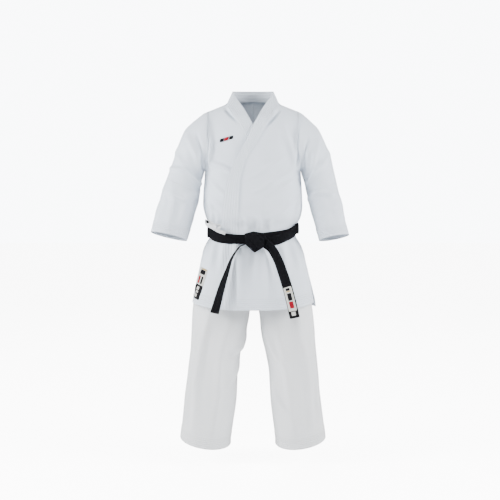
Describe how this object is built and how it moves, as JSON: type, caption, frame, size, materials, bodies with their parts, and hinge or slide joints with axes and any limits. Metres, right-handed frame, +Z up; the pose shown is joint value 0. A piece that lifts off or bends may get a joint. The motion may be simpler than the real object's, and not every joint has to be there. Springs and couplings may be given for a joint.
{
  "type": "martial arts uniform",
  "caption": "Karate uniform: wrap jacket with wide three-quarter sleeves, wide trousers and a tied black belt, shaped as worn with no wearer inside.",
  "frame": {"origin": "middle of the neck opening at the height of the shoulder seams' inner ends, where the wearer or a hanger carries the uniform", "axes": "+Z up, -Y towards the front of the uniform, +X towards the wearer's left"},
  "size_m": [0.785, 0.386, 1.4138],
  "materials": {
    "jacket_canvas": "heavy woven cotton canvas, very slightly blue white",
    "trouser_canvas": "woven cotton canvas, white",
    "belt_cotton": "black cotton belt with rows of stitching",
    "woven_label": "woven satin label, black and white",
    "badge_thread": "dense embroidery thread, black and red",
    "tie_cotton": "soft cotton tape",
    "elastic": "covered elastic band"
  },
  "bodies": {
    "uniform_body": {"front_panel_left": "jacket_canvas", "front_panel_right": "jacket_canvas", "back_panel_left": "jacket_canvas", "back_panel_right": "jacket_canvas", "shoulder_lining_left": "jacket_canvas", "shoulder_lining_right": "jacket_canvas", "lapel_left": "jacket_canvas", "lapel_right": "jacket_canvas", "vent_patch_left": "jacket_canvas", "vent_patch_right": "jacket_canvas", "sleeve_head_left": "jacket_canvas", "sleeve_head_right": "jacket_canvas", "trouser_seat_left": "trouser_canvas", "trouser_seat_right": "trouser_canvas", "neck_collar": "jacket_canvas", "chest_badge": "badge_thread", "side_tie_outer": "tie_cotton", "side_tie_inner": "tie_cotton", "belt_inner_wrap": "belt_cotton", "belt_outer_wrap": "belt_cotton", "belt_knot": "belt_cotton", "trouser_waistband": "trouser_canvas", "waist_elastic": "elastic", "crotch_gusset": "trouser_canvas"},
    "left_upper_sleeve": {"sleeve_upper_left": "jacket_canvas", "sleeve_elbow_left": "jacket_canvas"},
    "left_lower_sleeve": {"sleeve_end_left": "jacket_canvas", "cuff_hem_left": "jacket_canvas"},
    "left_thigh": {"trouser_leg_left": "trouser_canvas", "trouser_knee_left": "trouser_canvas"},
    "left_lower_leg": {"lower_leg_left": "trouser_canvas", "leg_hem_left": "trouser_canvas"},
    "right_upper_sleeve": {"sleeve_upper_right": "jacket_canvas", "sleeve_elbow_right": "jacket_canvas"},
    "right_lower_sleeve": {"sleeve_end_right": "jacket_canvas", "cuff_hem_right": "jacket_canvas"},
    "right_thigh": {"trouser_leg_right": "trouser_canvas", "trouser_knee_right": "trouser_canvas"},
    "right_lower_leg": {"lower_leg_right": "trouser_canvas", "leg_hem_right": "trouser_canvas"},
    "front_skirt": {"front_skirt_left": "jacket_canvas", "front_skirt_right": "jacket_canvas", "front_hem_left": "jacket_canvas", "front_hem_right": "jacket_canvas", "skirt_lapel_left": "jacket_canvas", "skirt_lapel_right": "jacket_canvas", "hem_label": "woven_label"},
    "back_skirt": {"back_skirt": "jacket_canvas", "back_hem": "jacket_canvas"},
    "left_belt_end": {"belt_end_left": "belt_cotton", "belt_end_label": "woven_label"},
    "right_belt_end": {"belt_end_right": "belt_cotton"}
  },
  "joints": [
    {"name": "left_shoulder_raise", "type": "hinge", "parent": "uniform_body", "child": "left_upper_sleeve", "pos_m": [0.185, 0, -0.147], "axis": [0, -1, 0], "range_deg": [0, 60], "deforming": ["sleeve_head_left"]},
    {"name": "left_elbow_bend", "type": "hinge", "parent": "left_upper_sleeve", "child": "left_lower_sleeve", "pos_m": [0.28, -0.025, -0.367], "axis": [-0.9564, 0, -0.2921], "range_deg": [0, 50], "deforming": ["sleeve_elbow_left"]},
    {"name": "right_shoulder_raise", "type": "hinge", "parent": "uniform_body", "child": "right_upper_sleeve", "pos_m": [-0.185, 0, -0.147], "axis": [0, 1, 0], "range_deg": [0, 60], "deforming": ["sleeve_head_right"]},
    {"name": "right_elbow_bend", "type": "hinge", "parent": "right_upper_sleeve", "child": "right_lower_sleeve", "pos_m": [-0.287, -0.025, -0.357], "axis": [-0.9564, 0, 0.2921], "range_deg": [0, 50], "deforming": ["sleeve_elbow_right"]},
    {"name": "left_hip_swing", "type": "hinge", "parent": "uniform_body", "child": "left_thigh", "pos_m": [0.12, 0, -0.557], "axis": [-1, 0, 0], "range_deg": [-3.5, 3.5]},
    {"name": "left_knee_bend", "type": "hinge", "parent": "left_thigh", "child": "left_lower_leg", "pos_m": [0.147, 0, -0.962], "axis": [1, 0, 0], "range_deg": [0, 50], "deforming": ["trouser_knee_left"]},
    {"name": "right_hip_swing", "type": "hinge", "parent": "uniform_body", "child": "right_thigh", "pos_m": [-0.12, 0, -0.557], "axis": [-1, 0, 0], "range_deg": [-3.5, 3.5]},
    {"name": "right_knee_bend", "type": "hinge", "parent": "right_thigh", "child": "right_lower_leg", "pos_m": [-0.147, 0, -0.962], "axis": [1, 0, 0], "range_deg": [0, 50], "deforming": ["trouser_knee_right"]},
    {"name": "front_skirt_lift", "type": "hinge", "parent": "uniform_body", "child": "front_skirt", "pos_m": [0, -0.12, -0.595], "axis": [-1, 0, 0], "range_deg": [0, 30]},
    {"name": "back_skirt_lift", "type": "hinge", "parent": "uniform_body", "child": "back_skirt", "pos_m": [0, 0.12, -0.595], "axis": [1, 0, 0], "range_deg": [0, 30]},
    {"name": "left_belt_end_swing", "type": "hinge", "parent": "uniform_body", "child": "left_belt_end", "pos_m": [0.06, -0.165, -0.552], "axis": [-1, 0, 0], "range_deg": [0, 30]},
    {"name": "right_belt_end_swing", "type": "hinge", "parent": "uniform_body", "child": "right_belt_end", "pos_m": [-0.06, -0.165, -0.552], "axis": [-1, 0, 0], "range_deg": [0, 30]}
  ],
  "couplings": [
    {"joint": "left_belt_end_swing", "follows": "front_skirt_lift", "ratio": 1},
    {"joint": "right_belt_end_swing", "follows": "front_skirt_lift", "ratio": 1}
  ]
}
